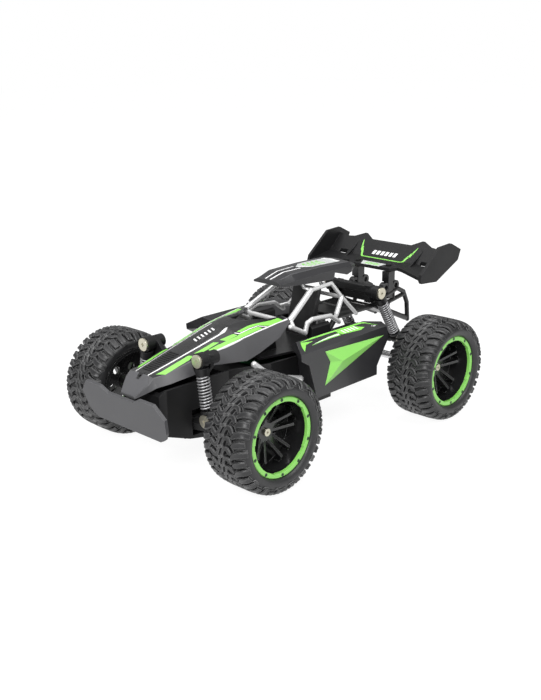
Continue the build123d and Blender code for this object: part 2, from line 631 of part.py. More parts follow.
def hood_sections():
    return [
        (-50.5, [(0, 58.8), (5, 58.8), (7.3, 58.6), (7.6, 57.6)]),
        (-42, [(0, 67.2), (6, 67.2), (12.2, 66.5), (12.6, 61.5)]),
        (-38, [(0, 70.7), (6.3, 70.7), (12.6, 69.9), (15.6, 63.9)]),
        (-29, [(0, 72.9), (6.5, 72.9), (14, 70.6), (18, 64.8)]),
        (-9, [(0, 78), (6.8, 78), (16.5, 75.3), (20.4, 67)]),
        (8, [(0, 82.4), (7.3, 82.4), (18, 78), (20.8, 69.5)]),
        (34, [(0, 89), (7.8, 89), (22.3, 82.7), (26, 67.5)]),
        (45, [(0, 91.2), (9, 90.6), (23.4, 84.4), (26.8, 70.5)]),
        (65, [(0, 90.6), (14, 88.8), (24.2, 87), (27, 77.3)]),
        (76.8, [(0, 91), (18, 89.4), (24.4, 88.6), (25.6, 85.4)]),
    ]


def hood_shell():
    sections = hood_sections()
    body = lofted(sections)
    inside = [(y, lowered(half, SHELL_WALL)) for y, half in sections]
    inside[0] = (-48.2, [(0, 58.5), (4, 58.5), (5.6, 58.2), (6, 50)])
    inside[-1] = (78, inside[-1][1])
    body -= lofted(inside)
    # Cockpit opening
    opening = [(0, 44), (7.5, 46), (17.5, 74), (17.5, 80), (0, 80)]
    body -= plate_xy(mirrored_outline(opening), (60, 100))
    # Slots round the front shock tower
    body -= both_sides(block((14.6, 40), (-9, 4.5), (60, 90)))
    # Grip hole in the nose
    return body - rod((0, -42, 72), (0, -36, 66), 1.6)


def side_pod():
    sections = [
        (POD_FACE_X, [(52, 74), (52.5, 69.5), (60, 65), (68, 39), (135, 39.5), (135, 46.5), (147.5, 64.5),
                      (146, 75), (128, 75)]),
        (49, [(58.5, 80), (59, 71), (68, 66), (76, 36), (135, 36), (136, 46), (149, 62), (153, 75), (131, 79.8)]),
        (31.4, [(72, 71), (72, 69), (78, 64), (84, 30), (128, 30), (130, 46), (140, 60), (150, 69), (131, 71)]),
    ]
    outer = loft([polygon([(x, y, z) for y, z in points]) for x, points in sections], ruled=True)
    inner = []
    for x, points in ((POD_FACE_X - 2, sections[0][1]), sections[1], (30, sections[2][1])):
        middle_y = sum(p[0] for p in points) / len(points)
        middle_z = sum(p[1] for p in points) / len(points)
        inner.append(polygon([(x, middle_y + (y - middle_y) * 0.94, middle_z + (z - middle_z) * 0.9)
                              for y, z in points]))
    return outer - loft(inner, ruled=True)


def pod_insets():
    base = POD_FACE_X + 0.05
    points = [(base, 76.3, 71.4), (base, 142.5, 68.7), (base, 76.4, 46.1), (base, 81.9, 62.4), (65, 89.7, 62.4)]
    return both_sides(faceted(points, [(0, 1, 2, 3), (0, 1, 4), (1, 2, 4), (2, 3, 4), (3, 0, 4)]))


def roof_panel():
    sections = [
        (80, [(0, 112.8), (9.6, 112.6), (13.7, 110.8), (13.7, 109.4)]),
        (94, [(0, 116.4), (11.5, 115.8), (15.6, 111.6), (15.6, 108)]),
        (125, [(0, 117), (12.5, 116.3), (16, 112.5), (16, 106)]),
        (157, [(0, 116.4), (13.8, 115.4), (16, 112.5), (16, 105)]),
        (165, [(0, 113.4), (11.5, 112.8), (12.6, 112), (12.6, 109)]),
    ]
    body = lofted(sections)
    inside = [(y, lowered(half, SHELL_WALL)) for y, half in sections]
    inside[0] = (82, inside[0][1])
    inside[-1] = (163, inside[-1][1])
    body -= lofted(inside)
    return body - plate_yz([(135.5, 100), (137.5, 110.4), (152, 106.3), (166, 110.5), (172, 100)], (-20, 20))


def roll_cage():
    base = (23.0, 80.5, 86.5)
    top = (17.0, 109.0, 102.0)
    hip = (18.0, 131.0, 103.6)
    joint = (20.7, 140.0, 91.7)
    foot = (24.0, 153.5, 76.5)
    side = bent_tube([base, top], 2.2)
    side += bent_tube([top, hip, joint, foot], 1.5)
    side += bent_tube([joint, (24.5, 129.5, 81)], 1.8)
    side += bent_tube([top, (11.5, 107, 103.6), (10.5, 104, 110.8)], 1.2)
    side += bent_tube([(18, 127, 103.3), (11.5, 126, 103.4), (10.5, 126, 111)], 1.2)
    step = [(28.8, 74.4, 83.5), (29.2, 89.4, 75.8), (29.2, 91.7, 82.8), (29.2, 97, 84.6), (29.2, 117, 83.1), (29, 127, 76.4)]
    side += bent_tube(step, 1.8)
    side += rod((28.8, 78, 81.7), (23.0, 80.5, 86.0), 1.5)
    side += rod((29, 122.5, 79.6), (24.5, 129.5, 81), 1.5)
    body = both_sides(side)
    body += bent_tube([(-23.0, 80.5, 86.5), (-17, 78.5, 85), (17, 78.5, 85), (23.0, 80.5, 86.5)], 1.7)
    body += rod((-20.7, 140.0, 91.7), (20.7, 140.0, 91.7), 1.5)
    tube = [(28.8, 37.5, 64.6), (32, 43, 59), (38.5, 52, 53.5), (43, 60, 52), (46.8, 65.5, 51.2)]
    return body + both_sides(bent_tube(tube, 2.2))


def seat_panel():
    floor_z = (62.2, 64)
    floor_plan = [(0, 50), (20, 50), (26, 80), (30, 84), (30, 117), (0, 117)]
    panel = plate_xy(mirrored_outline(floor_plan), floor_z)
    back = [(112, 63), (117, 63), (126, 100), (122, 100)]
    panel += plate_yz(back, (-12.5, 12.5))
    hump = [(0, 64), (13, 64), (11, 76), (0, 78)]
    panel += plate_xz(mirrored_outline(hump), (58, 76))
    flank = plate_xz([(26, 63), (31, 63), (31, 78), (28.5, 79.8), (26, 78)], (95, 115))
    return panel + both_sides(flank)


# ---- saving -------------------------------------------------------------
def save(name, shape):
    export_step(Pos(0, -ORIGIN_Y, 0) * shape, f"parts/{name}.step")


def save_pair(name, shape):
    """Save a left piece and its mirror image on the right."""
    save(f"left_{name}", shape)
    save(f"right_{name}", mirrored(shape))


def save_body():
    save("chassis_tub", chassis_tub())
    save("battery_door", battery_door())
    save("battery_pack", battery_pack())
    save("receiver_board", receiver_board())
    save("power_switch", power_switch())
    save("suspension_pins", suspension_pins())
    save("front_bumper", front_bumper())
    save("front_shock_tower", front_shock_tower())
    save("rear_shock_tower", rear_shock_tower())
    save("rear_frame", rear_frame())
    save("rear_wing", rear_wing())
    save("chassis_screws", chassis_screws())
    save("hood_shell", hood_shell())
    save("pod_insets", pod_insets())
    save("roof_panel", roof_panel())
    save("roll_cage", roll_cage())
    save("seat_panel", seat_panel())
    save_pair("side_pod", side_pod())


def save_front_end():
    save_pair("front_arm", front_arm())
    save_pair("arm_screw", arm_screw())
    save_pair("knuckle", knuckle())
    save_pair("wheel_screw", wheel_screw())
    save_pair("front_tyre", at_wheel(tyre(), FRONT_WHEEL_X, 0))
    save_pair("front_rim", at_wheel(rim(AXLE_SCREW_RADIUS + FIT), FRONT_WHEEL_X, 0))
    save_pair("front_ring", at_wheel(ring(), FRONT_WHEEL_X, 0))
    save("steering_tie_rod", tie_rod())
    save("servo_horn", servo_horn())
    save("steering_servo", steering_servo())


def save_rear_end():
    save("gearbox_case", gearbox_case())
    save("gearbox_cover", gearbox_cover())
    save("drive_motor", drive_motor())
    save("motor_pinion", motor_pinion())
    save("idler_gear", idler_gear())
    save("axle_gear", axle_gear())
    save("rear_axle_shaft", rear_axle_shaft())
    save("rear_wheel_screws", rear_wheel_screws())
    save("rear_shock_screws", rear_shock_screws())
    save("rear_tyres", both_sides(at_wheel(tyre(), REAR_WHEEL_X, WHEELBASE)))
    save("rear_rims", both_sides(at_wheel(rim(AXLE_RADIUS + 0.03), REAR_WHEEL_X, WHEELBASE)))
    save("rear_rings", both_sides(at_wheel(ring(), REAR_WHEEL_X, WHEELBASE)))


def save_shocks():
    front = shock_length(FRONT_SHOCK_TOP, FRONT_SHOCK_LOW)
    rear = shock_length(REAR_SHOCK_TOP, REAR_SHOCK_LOW)
    for place, length, travel, put in (("front", front, 4.5, front_shock), ("rear", rear, 8.5, rear_shock)):
        save_pair(f"{place}_shock_body", put(shock_body(length, travel)))
        save_pair(f"{place}_shock_rod", put(shock_rod(length, travel)))
        save_pair(f"{place}_spring", put(shock_spring(length)))


os.makedirs("parts", exist_ok=True)
save_body()
save_front_end()
save_rear_end()
save_shocks()
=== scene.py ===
import json
import math

import bmesh
import bpy
from mathutils import Matrix, Vector
from mathutils.bvhtree import BVHTree


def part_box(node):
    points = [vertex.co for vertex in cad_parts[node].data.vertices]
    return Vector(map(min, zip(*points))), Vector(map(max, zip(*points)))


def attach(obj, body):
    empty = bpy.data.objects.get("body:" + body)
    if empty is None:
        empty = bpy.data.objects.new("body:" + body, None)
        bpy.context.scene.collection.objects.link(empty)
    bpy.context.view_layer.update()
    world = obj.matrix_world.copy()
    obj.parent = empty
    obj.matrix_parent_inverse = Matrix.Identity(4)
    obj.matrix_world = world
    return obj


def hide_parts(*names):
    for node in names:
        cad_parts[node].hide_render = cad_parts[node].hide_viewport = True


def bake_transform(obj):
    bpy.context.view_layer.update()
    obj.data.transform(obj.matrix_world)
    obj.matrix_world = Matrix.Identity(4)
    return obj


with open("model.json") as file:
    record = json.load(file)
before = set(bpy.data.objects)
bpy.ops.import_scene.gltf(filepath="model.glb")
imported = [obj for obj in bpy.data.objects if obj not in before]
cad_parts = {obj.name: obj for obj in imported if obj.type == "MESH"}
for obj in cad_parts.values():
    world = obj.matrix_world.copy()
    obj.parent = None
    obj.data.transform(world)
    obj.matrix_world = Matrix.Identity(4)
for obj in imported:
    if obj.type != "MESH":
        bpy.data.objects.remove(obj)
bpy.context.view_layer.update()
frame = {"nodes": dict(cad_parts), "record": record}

MM = 0.001
FRONT_AXLE_Y = 91.7  # the frame's origin lies this far behind the front axle, in mm

WHEELBASE = 180.3
WHEEL_RADIUS = 39.0
TYRE_HALF_WIDTH = 19.0

CAMERA_AT = (0.47738, -0.49086, 0.27313)
CAMERA_AZIMUTH = 44.726
CAMERA_ELEVATION = 17.575
CAMERA_ROLL = -0.807
CAMERA_LENS = 48.92

NODE_SHARP = math.radians(28)  # edges sharper than this stay crisp when a surface is shaded smooth
PIECE_SHARP = math.radians(35)

nodes = frame["nodes"]


def at(x, y, z):
    """A point in metres from millimetres, with y measured back from the front axle."""
    return Vector((x, y - FRONT_AXLE_Y, z)) * MM


# ---------------------------------------------------------------- shader node helpers

def add(tree, kind, **values):
    node = tree.nodes.new(kind)
    for key, value in values.items():
        setattr(node, key, value)
    return node


def noise_of(tree, coords, scale, detail=3.0, roughness=0.55):
    node = add(tree, "ShaderNodeTexNoise")
    node.inputs["Scale"].default_value = scale
    node.inputs["Detail"].default_value = detail
    node.inputs["Roughness"].default_value = roughness
    tree.links.new(coords, node.inputs["Vector"])
    return node.outputs["Fac"]


def ranged(tree, source, low, high, to_low, to_high):
    node = add(tree, "ShaderNodeMapRange", clamp=True)
    for name, value in (("From Min", low), ("From Max", high), ("To Min", to_low), ("To Max", to_high)):
        node.inputs[name].default_value = value
    tree.links.new(source, node.inputs["Value"])
    return node.outputs["Result"]


# ---------------------------------------------------------------- camera, floor and light

def add_camera():
    az = math.radians(CAMERA_AZIMUTH)
    el = math.radians(CAMERA_ELEVATION)
    roll = math.radians(CAMERA_ROLL)
    back = Vector((math.sin(az) * math.cos(el), -math.cos(az) * math.cos(el), math.sin(el)))
    level = Vector((math.cos(az), math.sin(az), 0))
    up = back.cross(level)
    right = math.cos(roll) * level + math.sin(roll) * up
    top = math.cos(roll) * up - math.sin(roll) * level
    data = bpy.data.cameras.new("camera")
    data.lens = CAMERA_LENS
    data.clip_start = 0.02
    data.clip_end = 20
    camera = bpy.data.objects.new("camera", data)
    bpy.context.scene.collection.objects.link(camera)
    turn = Matrix((right, top, back)).transposed().to_4x4()
    camera.matrix_world = Matrix.Translation(CAMERA_AT) @ turn
    bpy.context.scene.camera = camera


def add_area(name, place, aim, size, power):
    data = bpy.data.lights.new(name, "AREA")
    data.shape = "RECTANGLE"
    data.size, data.size_y = size
    data.energy = power
    light = bpy.data.objects.new(name, data)
    bpy.context.scene.collection.objects.link(light)
    light.location = place
    light.rotation_euler = (Vector(aim) - Vector(place)).to_track_quat("-Z", "Y").to_euler()


FILL_LIGHT = 0.42  # strength of the white surroundings as a light
BACKDROP = 1.0  # and as the camera sees them


def add_studio():
    world = bpy.data.worlds.new("studio")
    bpy.context.scene.world = world
    bpy.context.scene.view_settings.view_transform = "Standard"
    world.use_nodes = True
    tree = world.node_tree
    background = tree.nodes["Background"]
    background.inputs["Color"].default_value = (1, 1, 1, 1)
    light_path = add(tree, "ShaderNodeLightPath")
    strength = ranged(tree, light_path.outputs["Is Camera Ray"], 0.0, 1.0, FILL_LIGHT, BACKDROP)
    tree.links.new(strength, background.inputs["Strength"])
    add_area("key", (0.75, 0.0, 1.25), (0, 0, 0.04), (0.8, 0.8), 12)
    add_area("top", (-0.3, -0.15, 1.3), (0, 0, 0.05), (1.0, 1.0), 8)
    add_area("front", (0.5, -1.25, 0.85), (0, 0, 0.05), (0.7, 0.5), 15)


FLOOR_REACH = 6.0
FLOOR_SHADE = 0.16
FLOOR_GLOW = 0.92  # keeps the floor pale, so that shadows on it stay faint


def add_floor():
    mesh = bpy.data.meshes.new("floor")
    corners = [(x * FLOOR_REACH, y * FLOOR_REACH, 0) for x, y in ((-1, -1), (1, -1), (1, 1), (-1, 1))]
    mesh.from_pydata(corners, [], [(0, 1, 2, 3)])
    floor = bpy.data.objects.new("floor", mesh)
    bpy.context.scene.collection.objects.link(floor)
    material = bpy.data.materials.new("floor")
    material.use_nodes = True
    shader = material.node_tree.nodes["Principled BSDF"]
    shader.inputs["Base Color"].default_value = (FLOOR_SHADE, FLOOR_SHADE, FLOOR_SHADE, 1)
    shader.inputs["Roughness"].default_value = 0.9
    shader.inputs["Specular IOR Level"].default_value = 0.1
    shader.inputs["Emission Color"].default_value = (1, 1, 1, 1)
    shader.inputs["Emission Strength"].default_value = FLOOR_GLOW
    mesh.materials.append(material)


# ---------------------------------------------------------------- materials

def mixed(tree, factor, first, second):
    node = add(tree, "ShaderNodeMix", data_type="RGBA")
    tree.links.new(factor, node.inputs["Factor"])
    for socket, value in ((node.inputs[6], first), (node.inputs[7], second)):
        if isinstance(value, tuple):
            socket.default_value = (*value, 1)
        else:
            tree.links.new(value, socket)
    return node.outputs[2]


def edge_mask(tree, radius):
    """1 along sharp edges and 0 on flat faces, from how far a rounded normal leans from the true one."""
    bevel = add(tree, "ShaderNodeBevel", samples=4)
    bevel.inputs["Radius"].default_value = radius * MM
    geometry = add(tree, "ShaderNodeNewGeometry")
    dot = add(tree, "ShaderNodeVectorMath", operation="DOT_PRODUCT")
    tree.links.new(bevel.outputs["Normal"], dot.inputs[0])
    tree.links.new(geometry.outputs["Normal"], dot.inputs[1])
    return ranged(tree, dot.outputs["Value"], 0.995, 0.86, 0.0, 1.0), bevel.outputs["Normal"]


ROUGH_SPREAD = 0.08
COAT_ROUGHNESS = 0.12
BROAD_SCALE = 28.0
SCRATCH_SCALE = 900.0


def moulded(name, colour, wear_and_highlight, roughness=0.45, metallic=0.0, grain=1400.0, grain_depth=0.05, edge=0.35,
            tint=0.12, specular=0.5, coat=0.0, scuffs=0.25):
    """A finish with fine moulded grain, slow changes of tone and gloss, faint scuffs, and paler edges that
    are partly wear and partly a painted highlight.
    """
    material = bpy.data.materials.new(name)
    material.use_nodes = True
    tree = material.node_tree
    shader = tree.nodes["Principled BSDF"]
    coords = add(tree, "ShaderNodeTexCoord").outputs["Object"]
    broad = noise_of(tree, coords, BROAD_SCALE, 4.0)
    fine = noise_of(tree, coords, grain, 2.0)
    streak_map = add(tree, "ShaderNodeMapping")
    streak_map.inputs["Scale"].default_value = (1.0, 0.12, 1.0)
    streak_map.inputs["Rotation"].default_value = (0.3, 0.5, 0.7)
    tree.links.new(coords, streak_map.inputs["Vector"])
    scratches = noise_of(tree, streak_map.outputs["Vector"], SCRATCH_SCALE, 6.0, 0.7)
    darker = tuple(c * (1 - tint) for c in colour)
    lighter = tuple(min(1.0, c * (1 + tint)) for c in colour)
    base = mixed(tree, ranged(tree, broad, 0.3, 0.7, 0.0, 1.0), darker, lighter)
    scuff = ranged(tree, scratches, 0.66, 0.8, 0.0, scuffs)
    base = mixed(tree, scuff, base, wear_and_highlight)
    mask, rounded = edge_mask(tree, edge)
    # the second colour goes on the edges in patches: partly edge wear, partly a painted highlight standing in
    # for light caught along edges
    edge_wear_and_highlight = add(tree, "ShaderNodeMath", operation="MULTIPLY")
    tree.links.new(mask, edge_wear_and_highlight.inputs[0])
    tree.links.new(ranged(tree, broad, 0.35, 0.65, 0.25, 0.8), edge_wear_and_highlight.inputs[1])
    base = mixed(tree, edge_wear_and_highlight.outputs[0], base, wear_and_highlight)
    tree.links.new(base, shader.inputs["Base Color"])
    gloss = ranged(tree, broad, 0.25, 0.75, roughness - ROUGH_SPREAD, roughness + ROUGH_SPREAD)
    tree.links.new(gloss, shader.inputs["Roughness"])
    shader.inputs["Metallic"].default_value = metallic
    shader.inputs["Specular IOR Level"].default_value = specular
    shader.inputs["Coat Weight"].default_value = coat
    shader.inputs["Coat Roughness"].default_value = COAT_ROUGHNESS
    bump = add(tree, "ShaderNodeBump")
    bump.inputs["Strength"].default_value = 0.6
    bump.inputs["Distance"].default_value = grain_depth * MM
    tree.links.new(fine, bump.inputs["Height"])
    tree.links.new(rounded, bump.inputs["Normal"])
    tree.links.new(bump.outputs["Normal"], shader.inputs["Normal"])
    return material


def shade(level, blue=0.0):
    """A grey of this level, with a little more blue where it says so."""
    return (level, level, level + blue)


# In each finish the second colour marks scuffs, which are wear, and edges, where it is partly wear and partly
# a painted highlight.
FINISHES = {
    "black_plastic": dict(colour=shade(0.009, 0.0005), wear_and_highlight=shade(0.06, 0.002), roughness=0.42,
                          specular=0.35),
    # the rims' wide pale edges are mostly a painted highlight, on top of some wear
    "rim_black": dict(colour=shade(0.010, 0.0005), wear_and_highlight=shade(0.22), roughness=0.28, coat=0.4, edge=0.55),
    "wing_black": dict(colour=shade(0.007, 0.0005), wear_and_highlight=shade(0.05, 0.002), roughness=0.5, specular=0.3),
    "satin_black": dict(colour=shade(0.009, 0.0005), wear_and_highlight=shade(0.06, 0.002), roughness=0.34, coat=0.12),
    "body_plastic": dict(colour=shade(0.019, 0.002), wear_and_highlight=shade(0.12, 0.005), roughness=0.38, coat=0.15),
    "bumper_plastic": dict(colour=shade(0.052, 0.004), wear_and_highlight=shade(0.22, 0.01), roughness=0.5, edge=0.5),
    "green_plastic": dict(colour=(0.235, 0.60, 0.115), wear_and_highlight=(0.38, 0.72, 0.24), roughness=0.36, tint=0.05),
    "silver_plastic": dict(colour=shade(0.72), wear_and_highlight=shade(0.85), roughness=0.25, metallic=0.45, tint=0.05,
                           edge=0.15),
    "steel": dict(colour=shade(0.78, 0.01), wear_and_highlight=shade(0.9), roughness=0.26, metallic=0.75, tint=0.05,
                  edge=0.06),
    "spring_steel": dict(colour=shade(0.40, 0.01), wear_and_highlight=shade(0.6), roughness=0.3, metallic=0.6, tint=0.08,
                         edge=0.06),
    "screw_steel": dict(colour=(0.60, 0.57, 0.46), wear_and_highlight=(0.8, 0.78, 0.68), roughness=0.3, metallic=0.9,
                        tint=0.06),
    # the tyre's pale block edges are partly rubbed rubber and partly a painted highlight
    "tyre_rubber": dict(colour=shade(0.016, 0.001), wear_and_highlight=shade(0.24), roughness=0.42, grain=900.0,
                        grain_depth=0.08, edge=0.7, tint=0.3, scuffs=0.3),
    "gear_plastic": dict(colour=(0.62, 0.60, 0.54), wear_and_highlight=(0.8, 0.78, 0.72), roughness=0.4),
    "board": dict(colour=(0.03, 0.16, 0.06), wear_and_highlight=(0.2, 0.3, 0.1), roughness=0.35),
    "battery_wrap": dict(colour=(0.04, 0.10, 0.30), wear_and_highlight=(0.2, 0.25, 0.4), roughness=0.3, coat=0.4),
    "motor_metal": dict(colour=shade(0.55, 0.01), wear_and_highlight=shade(0.75), roughness=0.35, metallic=1.0),
    # the hood shell's grey is a painted highlight: it stands in for the light its side facets catch, while a
    # black sheet gives the top its own dark colour
    "hood_painted_highlight_grey": dict(colour=shade(0.085, 0.004), wear_and_highlight=shade(0.25), roughness=0.42, coat=0.1),
    "black_print": dict(colour=shade(0.016, 0.001), wear_and_highlight=shade(0.06), roughness=0.3, coat=0.2),
    "green_print": dict(colour=(0.24, 0.66, 0.10), wear_and_highlight=(0.32, 0.6, 0.22), roughness=0.34, tint=0.04,
                        scuffs=0.15),
    "white_print": dict(colour=shade(0.80), wear_and_highlight=shade(0.6), roughness=0.4, tint=0.03, scuffs=0.15),
    "silver_print": dict(colour=(0.52, 0.54, 0.53), wear_and_highlight=shade(0.4), roughness=0.34, tint=0.08, scuffs=0.2),
    "grey_panel": dict(colour=shade(0.085, 0.005), wear_and_highlight=shade(0.25, 0.01), roughness=0.42),
    "ring_bolt": dict(colour=(0.02, 0.05, 0.02), wear_and_highlight=(0.1, 0.2, 0.1), roughness=0.4),
}
FINISH = {name: moulded(name, **look) for name, look in FINISHES.items()}

SHOCKS = ("left_front", "right_front", "left_rear", "right_rear")
# the hood shell's grey finish paints the light that falls on its side facets
NODE_FINISH = {"rear_frame": "satin_black", "seat_panel": "satin_black", "rear_wing": "wing_black",
               "hood_shell": "hood_painted_highlight_grey", "left_front_rim": "rim_black",
               "right_front_rim": "rim_black", "rear_rims": "rim_black"}
NODE_FINISH.update({corner + "_shock_rod": "black_plastic" for corner in SHOCKS})


def node_slots():
    """The record's material slot of each CAD node."""
    return {entry["node"]: entry["material_slot"] for entry in frame["record"]["subparts"]}


def finish_nodes():
    slots = node_slots()
    for name, obj in nodes.items():
        finish = FINISH[NODE_FINISH.get(name, slots.get(name, "black_plastic"))]
        obj.data.materials.clear()
        obj.data.materials.append(finish)
        obj.data.shade_smooth()
        obj.data.set_sharp_from_angle(angle=NODE_SHARP)


# ---------------------------------------------------------------- mesh helpers

def piece(name, bm, body, finish):
    mesh = bpy.data.meshes.new(name)
    bm.to_mesh(mesh)
    bm.free()
    obj = bpy.data.objects.new(name, mesh)
    bpy.context.scene.collection.objects.link(obj)
    mesh.materials.append(FINISH[finish])
    mesh.shade_smooth()
    mesh.set_sharp_from_angle(angle=PIECE_SHARP)
    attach(obj, body)
    return obj


def spline(points, steps):
    """Points on a smooth curve through points, steps to a span; each point is a tuple of numbers."""
    padded = [points[0]] + list(points) + [points[-1]]
    out = []
    for i in range(len(points) - 1):
        p0, p1, p2, p3 = padded[i:i + 4]
        for k in range(steps):
            u = k / steps
            out.append(tuple(
                0.5 * (2 * b + (c - a) * u + (2 * a - 5 * b + 4 * c - d) * u * u
                       + (3 * b - a - 3 * c + d) * u ** 3)
                for a, b, c, d in zip(p0, p1, p2, p3)))
    out.append(tuple(points[-1]))
    return out


# ---------------------------------------------------------------- tyres

# half of the tyre's section without its tread, as (distance from the middle, radius)
CARCASS = spline([(0, 36.3), (8, 36.25), (13, 35.9), (15.9, 35.0), (17.7, 33.3), (18.5, 31.2), (18.1, 29.0),
                  (17.0, 27.6), (16.1, 27.15)], 5)
BORE = [(12.5, 27.15), (12.5, 34)]
CARCASS_FACETS = 96
STEP = [0.0]
for (x0, r0), (x1, r1) in zip(CARCASS, CARCASS[1:]):
    STEP.append(STEP[-1] + math.hypot(x1 - x0, r1 - r0))


def on_carcass(across, around, height):
    """A point of the tyre, across being measured along its section and around along the tread."""
    side = -1 if across < 0 else 1
    t = min(abs(across), STEP[-1] - 1e-6)
    i = max(k for k in range(len(STEP) - 1) if STEP[k] <= t)
    u = (t - STEP[i]) / (STEP[i + 1] - STEP[i])
    (x0, r0), (x1, r1) = CARCASS[i], CARCASS[i + 1]
    length = math.hypot(x1 - x0, r1 - r0)
    nx, nr = (r0 - r1) / length, (x1 - x0) / length
    x = x0 + (x1 - x0) * u + nx * height
    r = r0 + (r1 - r0) * u + nr * height
    angle = around / WHEEL_RADIUS
    return Vector((side * x, r * math.sin(angle), r * math.cos(angle))) * MM


def tread_block(bm, path, height, steps=3):
    """A rubber block along a path of (across, around, half width), standing height above the carcass."""
    rows = spline(path, steps)
    grid = []
    for i, (t, s, w) in enumerate(rows):
        t0, s0, _ = rows[max(i - 1, 0)]
        t1, s1, _ = rows[min(i + 1, len(rows) - 1)]
        length = math.hypot(t1 - t0, s1 - s0)
        nt, ns = -(s1 - s0) / length, (t1 - t0) / length
        foot, rim = w + BLOCK_FLARE, BLOCK_RIM * w
        tall = height - max(0.0, abs(t) - SHOULDER) * SHOULDER_FALL
        half = [(foot, -BLOCK_ROOT), (w, tall - BLOCK_EDGE), (rim, tall)]
        section = [(-k, h) for k, h in half] + [(0, tall - BLOCK_DIP)] + half[::-1]
        grid.append([bm.verts.new(on_carcass(t + nt * k, s + ns * k, h)) for k, h in section])
    for a, b in zip(grid, grid[1:]):
        for k in range(len(a)):
            n = (k + 1) % len(a)
            bm.faces.new((a[k], a[n], b[n], b[k]))
    bm.faces.new(list(reversed(grid[0])))
    bm.faces.new(grid[-1])


# the paths of the tread's blocks, as (across, around, half width)
CENTRE_HOOK = [(-2.6, -5.6, 0.8), (-1.0, -5.3, 1.15), (0.6, -4.5, 1.25), (1.6, -2.4, 1.25), (2.4, -0.2, 1.3),
               (4.0, 1.5, 1.5), (5.9, 1.4, 1.75), (7.6, 0.0, 1.7), (8.9, -1.5, 1.3)]
HOOK_SHIFT = 3.6
LONG_LUG = [(8.8, 2.0, 1.0), (10.2, 3.7, 1.7), (12.0, 5.2, 2.2), (14.6, 6.2, 2.4), (17.0, 6.6, 2.45),
            (19.4, 6.6, 2.35)]
SHORT_LUG = [(9.9, 3.4, 1.3), (11.4, 4.9, 2.0), (13.4, 5.8, 2.3), (15.6, 6.4, 2.35), (17.5, 6.7, 2.2)]
TREAD_PITCHES = 36
BLOCK_HEIGHT = 2.6
BLOCK_FLARE = 0.3  # how much wider a block's foot is than its edges, on each side
BLOCK_ROOT = 0.5  # and how far the foot sinks into the carcass
BLOCK_RIM = 0.68  # the raised rim's place, as a share of the half width
BLOCK_EDGE = 0.55  # drop from the rim to the block's edge
BLOCK_DIP = 0.3  # and to its middle
SHOULDER = 15.0  # beyond this way along the section the blocks thin out towards the sidewall
SHOULDER_FALL = 0.2


def tyre_bmesh(centre, outward):
    bm = bmesh.new()
    pitch = 2 * math.pi * WHEEL_RADIUS / TREAD_PITCHES
    for k in range(TREAD_PITCHES):
        start = k * pitch
        tread_block(bm, [(t, s + start, w) for t, s, w in CENTRE_HOOK], BLOCK_HEIGHT)
        tread_block(bm, [(-t, start + HOOK_SHIFT - s, w) for t, s, w in CENTRE_HOOK], BLOCK_HEIGHT)
        lug = (LONG_LUG, SHORT_LUG)[k % 2]
        tread_block(bm, [(t, s + start, w) for t, s, w in lug], BLOCK_HEIGHT)
        lug = (SHORT_LUG, LONG_LUG)[k % 2]
        tread_block(bm, [(-t, start + HOOK_SHIFT - s, w) for t, s, w in lug], BLOCK_HEIGHT)
    section = CARCASS + BORE
    section = section + [(-x, r) for x, r in reversed(section)][:-1]
    rings = []
    for k in range(CARCASS_FACETS):
        angle = 2 * math.pi * k / CARCASS_FACETS
        rings.append([bm.verts.new(Vector((x, r * math.sin(angle), r * math.cos(angle))) * MM)
                      for x, r in section])
    count = len(section)
    for a, b in zip(rings, rings[1:] + rings[:1]):
        for k in range(count):
            n = (k + 1) % count
            bm.faces.new((a[k], a[n], b[n], b[k]))
    bmesh.ops.recalc_face_normals(bm, faces=bm.faces)
    place = Matrix.Translation(centre)
    if outward < 0:
        place = place @ Matrix.Diagonal((-1, 1, 1, 1))
    bmesh.ops.transform(bm, matrix=place, verts=bm.verts)
    if outward < 0:
        bmesh.ops.reverse_faces(bm, faces=bm.faces)
    return bm


def wheel_centre(node):
    lo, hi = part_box(node)
    return (lo + hi) / 2


def add_tyres():
    for side, outward in (("left", 1), ("right", -1)):
        node = side + "_front_tyre"
        obj = piece(node + "_tread", tyre_bmesh(wheel_centre(node), outward), side + "_front_wheel",
                    "tyre_rubber")
        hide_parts(node)
    lo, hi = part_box("rear_tyres")
    middle = (lo + hi) / 2
    reach = (hi.x - lo.x) / 2 - TYRE_HALF_WIDTH * MM
    bm = tyre_bmesh(middle + Vector((reach, 0, 0)), 1)
    other = tyre_bmesh(middle - Vector((reach, 0, 0)), -1)
    mesh = bpy.data.meshes.new("other")
    other.to_mesh(mesh)
    other.free()
    bm.from_mesh(mesh)
    bpy.data.meshes.remove(mesh)
    obj = piece("rear_tyres_tread", bm, "rear_wheels", "tyre_rubber")
    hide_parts("rear_tyres")


# ---------------------------------------------------------------- printed and moulded marks

TREES = {}
UP = Vector((0, 0, 1))
FACING = 0.15  # a face counts as facing the print when its normal leans at least this far towards it
WELD = 1e-6
CUT = 1e-7
CLEAR = 2e-5  # start of the ray that looks for anything lying over a face
PRINT_LIFT = -0.02
PRINT_THICKNESS = 0.1
SHEET_THICKNESS = 0.05
PLATE_THICKNESS = 0.35
RIB_THICKNESS = 0.5
OVERLAY = 0.07  # lift of a mark that lies on another mark
KEYHOLE_LIFT = 0.33
OVERLAP = 0.02  # how far the quads of a stripe run into each other


